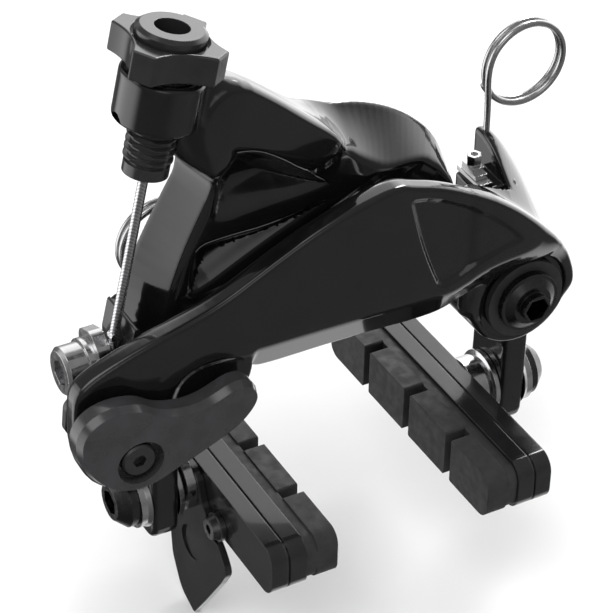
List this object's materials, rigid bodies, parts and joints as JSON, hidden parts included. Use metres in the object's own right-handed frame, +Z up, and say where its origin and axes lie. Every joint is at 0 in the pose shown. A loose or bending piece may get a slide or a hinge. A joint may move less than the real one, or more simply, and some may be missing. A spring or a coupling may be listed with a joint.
{
  "type": "bicycle rim brake caliper",
  "caption": "Direct-mount dual-pivot bicycle rim brake: two crossed arms on separate pivots with cartridge pads, barrel adjuster, quick-release cable anchor and looped return springs.",
  "frame": {"origin": "midway between the two mounting studs, on the face that seats against the bicycle frame", "axes": "+X to the right seen from the front, -Y towards the front, +Z up"},
  "size_m": [0.103, 0.055, 0.1209],
  "materials": {
    "arm_gloss": "gloss black paint over forged aluminium",
    "lever_gloss": "gloss black paint",
    "holder_gloss": "gloss black anodised aluminium",
    "adjuster_black": "semi-gloss black anodised",
    "nylon_black": "moulded black nylon",
    "carrier_black": "satin black",
    "fin_black": "moulded black plastic, satin",
    "steel_bright": "bright nickel-plated steel",
    "steel_dark": "smoked dark steel",
    "screw_grey": "satin grey steel",
    "spring_steel": "drawn spring steel",
    "cable_steel": "stranded bright steel",
    "bush": "sintered bronze",
    "rubber": "matt charcoal moulded rubber"
  },
  "bodies": {
    "frame_side": {"mounting_bolt_left": "steel_dark", "mounting_bolt_right": "steel_dark", "pivot_sleeve_left": "steel_bright", "pivot_sleeve_right": "steel_bright", "rear_thrust_washers": "nylon_black", "front_thrust_washers": "nylon_black"},
    "arm_left": {"adjuster_arm": "arm_gloss", "pivot_bush_left": "bush", "return_spring_left": "spring_steel", "adjuster_collar": "steel_dark", "adjuster_click_washer": "steel_bright"},
    "knob": {"adjuster_knob": "adjuster_black"},
    "stem": {"adjuster_stem": "adjuster_black"},
    "arm_right": {"anchor_arm": "arm_gloss", "pivot_bush_right": "bush", "return_spring_right": "spring_steel", "synchronising_pin": "steel_bright", "centring_screw": "steel_bright", "centring_seat_plate": "steel_bright", "centring_lock_nut": "steel_bright"},
    "quick_release": {"quick_release_lever": "lever_gloss", "quick_release_shaft": "steel_bright", "quick_release_screw": "screw_grey"},
    "anchor": {"anchor_carrier": "carrier_black", "anchor_bolt": "steel_bright", "anchor_washer": "steel_bright", "cable_clamp_plate": "steel_bright", "cable_clamped_end": "cable_steel"},
    "cable": {"inner_cable": "cable_steel"},
    "pad_bolt_left": {"pad_bolt_left": "steel_dark", "pad_washer_outer_left": "steel_bright", "pad_washer_convex_left": "steel_bright", "pad_washer_cup_left": "steel_bright"},
    "pad_bolt_right": {"pad_bolt_right": "steel_dark", "pad_washer_outer_right": "steel_bright", "pad_washer_convex_right": "steel_bright", "pad_washer_cup_right": "steel_bright"},
    "pad_left": {"pad_holder_left": "holder_gloss", "pad_insert_left": "rubber", "pad_insert_screw_left": "screw_grey", "wheel_guide_fin": "fin_black"},
    "pad_right": {"pad_holder_right": "holder_gloss", "pad_insert_right": "rubber", "pad_insert_screw_right": "screw_grey"}
  },
  "joints": [
    {"name": "right_arm_swing", "type": "hinge", "parent": "frame_side", "child": "arm_right", "pos_m": [0.031, 0, 0], "axis": [0, 1, 0], "range_deg": [-2, 6]},
    {"name": "left_arm_swing", "type": "hinge", "parent": "frame_side", "child": "arm_left", "pos_m": [-0.031, 0, 0], "axis": [0, -1, 0], "range_deg": [-2.01, 6.01]},
    {"name": "adjuster_turn", "type": "hinge", "parent": "arm_left", "child": "knob", "pos_m": [-0.03332, -0.0115, 0.05992], "axis": [0.2045, 0, 0.9789], "range_deg": [0, 1728]},
    {"name": "stem_travel", "type": "slide", "parent": "arm_left", "child": "stem", "axis": [0.2045, 0, 0.9789], "range_m": [-0.00001, 0.00601]},
    {"name": "quick_release_turn", "type": "hinge", "parent": "arm_right", "child": "quick_release", "pos_m": [-0.0457, -0.021, -0.0006], "axis": [0, -1, 0], "range_deg": [0, 75]},
    {"name": "anchor_drop", "type": "slide", "parent": "arm_right", "child": "anchor", "axis": [0.2045, 0, 0.9789], "range_m": [-0.00501, 0.00001]},
    {"name": "cable_lean", "type": "hinge", "parent": "anchor", "child": "cable", "pos_m": [-0.04304, -0.0115, 0.0134], "axis": [0, -1, 0], "range_deg": [-5.22, 15.64]},
    {"name": "left_pad_height", "type": "slide", "parent": "arm_left", "child": "pad_bolt_left", "axis": [0, 0, 1], "range_m": [-0.002, 0.002]},
    {"name": "right_pad_height", "type": "slide", "parent": "arm_right", "child": "pad_bolt_right", "axis": [0, 0, 1], "range_m": [-0.002, 0.002]},
    {"name": "left_pad_pitch", "type": "hinge", "parent": "pad_bolt_left", "child": "pad_left", "pos_m": [-0.027, -0.0056, -0.0257], "axis": [1, 0, 0], "range_deg": [-5, 5]},
    {"name": "right_pad_pitch", "type": "hinge", "parent": "pad_bolt_right", "child": "pad_right", "pos_m": [0.027, -0.0056, -0.0257], "axis": [1, 0, 0], "range_deg": [-5, 5]}
  ],
  "couplings": [
    {"joint": "left_arm_swing", "follows": "right_arm_swing", "ratio": 1},
    {"joint": "stem_travel", "follows": "adjuster_turn", "m_per_rad": 0.00019894},
    {"joint": "anchor_drop", "follows": "quick_release_turn", "m_per_rad": -0.0038197},
    {"joint": "cable_lean", "follows": "right_arm_swing", "ratio": 2.6}
  ]
}
